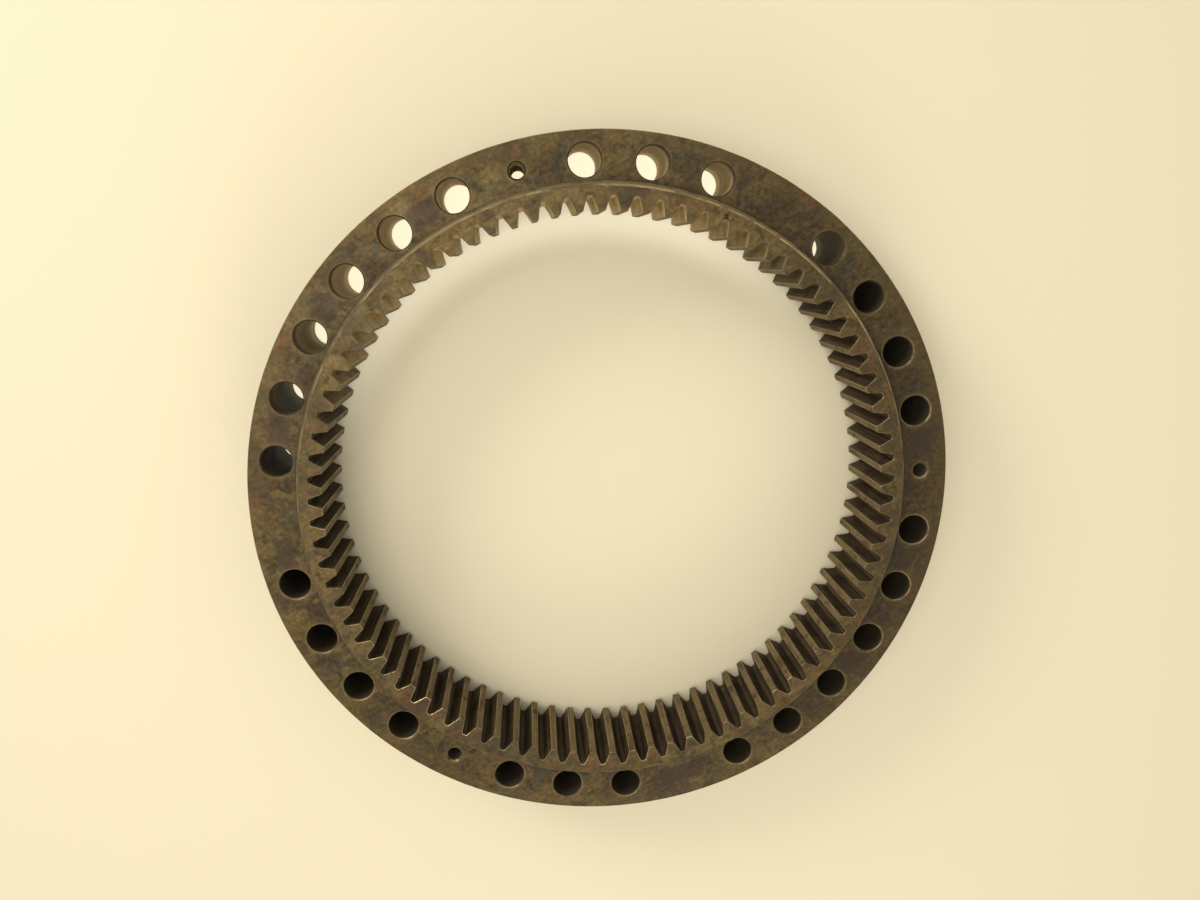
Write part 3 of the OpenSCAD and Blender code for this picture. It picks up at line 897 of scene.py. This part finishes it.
def make_lower_seal():
    lip = INNER_LAND_R + LIP_GAP
    low, top = LOWER_SEAL_LOW, LOWER_SEAL_TOP
    return turned_piece("lower_seal_fine", [
        (SEAT_R, low), (SEAT_R, top), (OUTER_LAND_R, top), (lip, top - LOWER_LIP_DROP),
        (lip, top - LOWER_LIP_DROP - LIP_BAND), (lip + LIP_RELIEF, low),
        (lip + LOWER_LIP_FOOT, low + SEAL_GROOVE), (SEAT_R - GROOVE_FOOT, low + SEAL_GROOVE),
        (SEAT_R - GROOVE_TOP, low)], seal_rubber)


def make_filler_plug():
    """A round plug along +X before it is turned to its place: bevelled end, tapped puller hole."""
    shell = Shell("filler_plug_fine", [plug_steel, bore_steel])
    end, start = OUTER_R - FILLER_RECESS, SEAT_R + FILLER_PLUG_STOP
    profile = [(FILLER_R, start), (FILLER_R, end - PLUG_BEVEL), (FILLER_R - PLUG_BEVEL, end),
               (PULLER_R + PLUG_BEVEL, end), (PULLER_R, end - PLUG_BEVEL)]
    angles = [TAU * j / PLUG_STEPS for j in range(PLUG_STEPS)]
    rows = [[Vector((x, r * math.cos(a), PORT_Z + r * math.sin(a))) for a in angles] for r, x in profile]
    shell.cap(rows[0], plug_steel)
    shell.grid(rows, plug_steel, closed=True)
    wall = [rows[-1]]
    for i in range(1, PULLER_ROWS + 1):
        x = end - PLUG_BEVEL - (PULLER_DEPTH - PLUG_BEVEL) * i / PULLER_ROWS
        radii = [PULLER_R + thread_depth(x, a, PULLER_PITCH, PULLER_THREAD) for a in angles]
        wall.append([Vector((x, math.cos(a) * r, PORT_Z + math.sin(a) * r)) for a, r in zip(angles, radii)])
    shell.grid(wall, bore_steel, closed=True)
    shell.cap(wall[-1], bore_steel)
    piece = shell.build()
    piece.data.transform(Matrix.Rotation(FILLER_POSITION * STEP, 4, "Z"))
    return piece


def make_ball_group(segment):
    """The balls of one cage segment, as one piece of separate spheres, each turned differently."""
    mesh = bpy.data.meshes.new(f"ball_group_{segment + 1:02d}")
    group = bmesh.new()
    per_segment = BALLS // SEGMENTS
    for i in range(per_segment):
        angle = (segment * per_segment + i + 0.5) * TAU / BALLS
        place = Matrix.Translation(polar(RACE_R, angle, PORT_Z)) @ Matrix.Rotation(angle * 5, 4, "X")
        bmesh.ops.create_uvsphere(group, u_segments=24, v_segments=14, radius=BALL_R, matrix=place)
    for face in group.faces:
        face.smooth = True
    group.to_mesh(mesh)
    group.free()
    mesh.materials.append(ball_steel)
    piece = bpy.data.objects.new(mesh.name, mesh)
    bpy.context.scene.collection.objects.link(piece)
    return piece


def finish_node(node, material):
    """Gives a CAD node that stays in view its material."""
    for slot in frame["nodes"][node].material_slots:
        slot.material = material


def stand_for(piece, body, node):
    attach(piece, body)
    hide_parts(node)


random.seed(84)
stand_for(make_outer_ring(), "outer", "outer_ring")
stand_for(make_inner_ring(), "inner", "inner_ring")
stand_for(make_upper_seal(), "outer", "upper_seal")
stand_for(make_lower_seal(), "outer", "lower_seal")
stand_for(make_filler_plug(), "outer", "filler_plug")
for number in range(SEGMENTS):
    stand_for(make_ball_group(number), "ball_train", f"balls_{number + 1:02d}")
    finish_node(f"cage_segment_{number + 1:02d}", cage_brass)
for node in ("filler_pin", "grease_plug_1", "grease_plug_2"):
    finish_node(node, plug_steel)


# ---------------------------------------------------------------- stage, light and camera
FLOOR_REACH, FLOOR_Z = 30.0, -0.2 * MM
HOLE_GLOW, TOOTH_GLOW = 0.86, 0.42
LAMP_COLOUR = (1.0, 0.92, 0.74)
RING_CENTRE = (0, 0, 0)


def make_floor():
    """A pale floor. It glows under the ring's far side, which the lights don't make it do: the
    holes there show bright, and their walls and the teeth are lit from below."""
    mesh = bpy.data.meshes.new("floor")
    reach = FLOOR_REACH
    corners = [(-reach, -reach), (reach, -reach), (reach, reach), (-reach, reach)]
    mesh.from_pydata([(x, y, FLOOR_Z) for x, y in corners], [], [(0, 1, 2, 3)])
    floor = bpy.data.objects.new("floor", mesh)
    bpy.context.scene.collection.objects.link(floor)
    n = Nodes("pale_floor")
    radius, _, _ = n.polar()
    x, y, _ = n.split()

    def band(inner, outer, soft_in, soft_out):
        """1 between two radii, with these soft edges inside them."""
        return n.math("MULTIPLY", n.step(radius, inner, inner + soft_in),
                      n.math("SUBTRACT", 1.0, n.step(radius, outer - soft_out, outer)))

    far = n.step(n.math("SUBTRACT", y, n.math("MULTIPLY", x, 0.4)), 0.06, 0.09)
    under_holes = n.math("MULTIPLY", band(INNER_LAND_R, OUTER_R - 2 * MM, 4 * MM, 4 * MM), far)
    farther = n.step(n.math("SUBTRACT", y, n.math("MULTIPLY", x, 0.2)), 0.06, 0.20)
    under_teeth = n.math("MULTIPLY", band(TIP_R - 30 * MM, INNER_LAND_R + 4 * MM, 32 * MM, 4 * MM), farther)
    glow = n.math("ADD", n.math("MULTIPLY", under_holes, HOLE_GLOW),
                  n.math("MULTIPLY", under_teeth, TOOTH_GLOW))
    n.set(Base_Color=(0.80, 0.757, 0.625), Roughness=0.8, Emission_Color=(1.0, 0.93, 0.70),
          Emission_Strength=glow)
    mesh.materials.append(n.material)


def area_light(name, place, size, power, spread=180):
    """A soft round light aimed at the ring. spread is the angle of its beam, in degrees."""
    data = bpy.data.lights.new(name, "AREA")
    data.shape, data.size, data.energy, data.color = "DISK", size, power, LAMP_COLOUR
    data.spread = math.radians(spread)
    light = bpy.data.objects.new(name, data)
    light.location = place
    light.rotation_euler = (Vector(RING_CENTRE) - Vector(place)).to_track_quat("-Z", "Y").to_euler()
    bpy.context.scene.collection.objects.link(light)


def make_world():
    world = bpy.data.worlds.new("studio")
    world.use_nodes = True
    background = world.node_tree.nodes["Background"]
    background.inputs["Color"].default_value = (1.0, 0.91, 0.72, 1)
    background.inputs["Strength"].default_value = 0.66
    bpy.context.scene.world = world


def make_camera():
    """A camera above the ring, a little towards its far side."""
    place, aim = Vector((-0.0418, 0.1812, 0.6929)), Vector((-0.0028, 0.0362, RING_H))
    roll = math.radians(-3.83)
    data = bpy.data.cameras.new("camera")
    data.sensor_width, data.lens = 36, 26.38
    camera = bpy.data.objects.new("camera", data)
    forward = (aim - place).normalized()
    right = forward.cross(Vector((0, 1, 0))).normalized()
    level = Matrix((right, right.cross(forward), -forward)).transposed()
    camera.matrix_world = Matrix.Translation(place) @ (level @ Matrix.Rotation(roll, 3, "Z")).to_4x4()
    bpy.context.scene.collection.objects.link(camera)
    bpy.context.scene.camera = camera


make_floor()
make_world()
area_light("overhead", (-0.7, 0.3, 2.2), size=1.6, power=18)
area_light("far_side", (-1.5, 1.5, 1.0), size=0.9, power=4.8, spread=80)
area_light("near_side", (0.2, -2.2, 1.0), size=1.2, power=2.9, spread=80)
make_camera()
bpy.context.scene.view_settings.view_transform = "Standard"
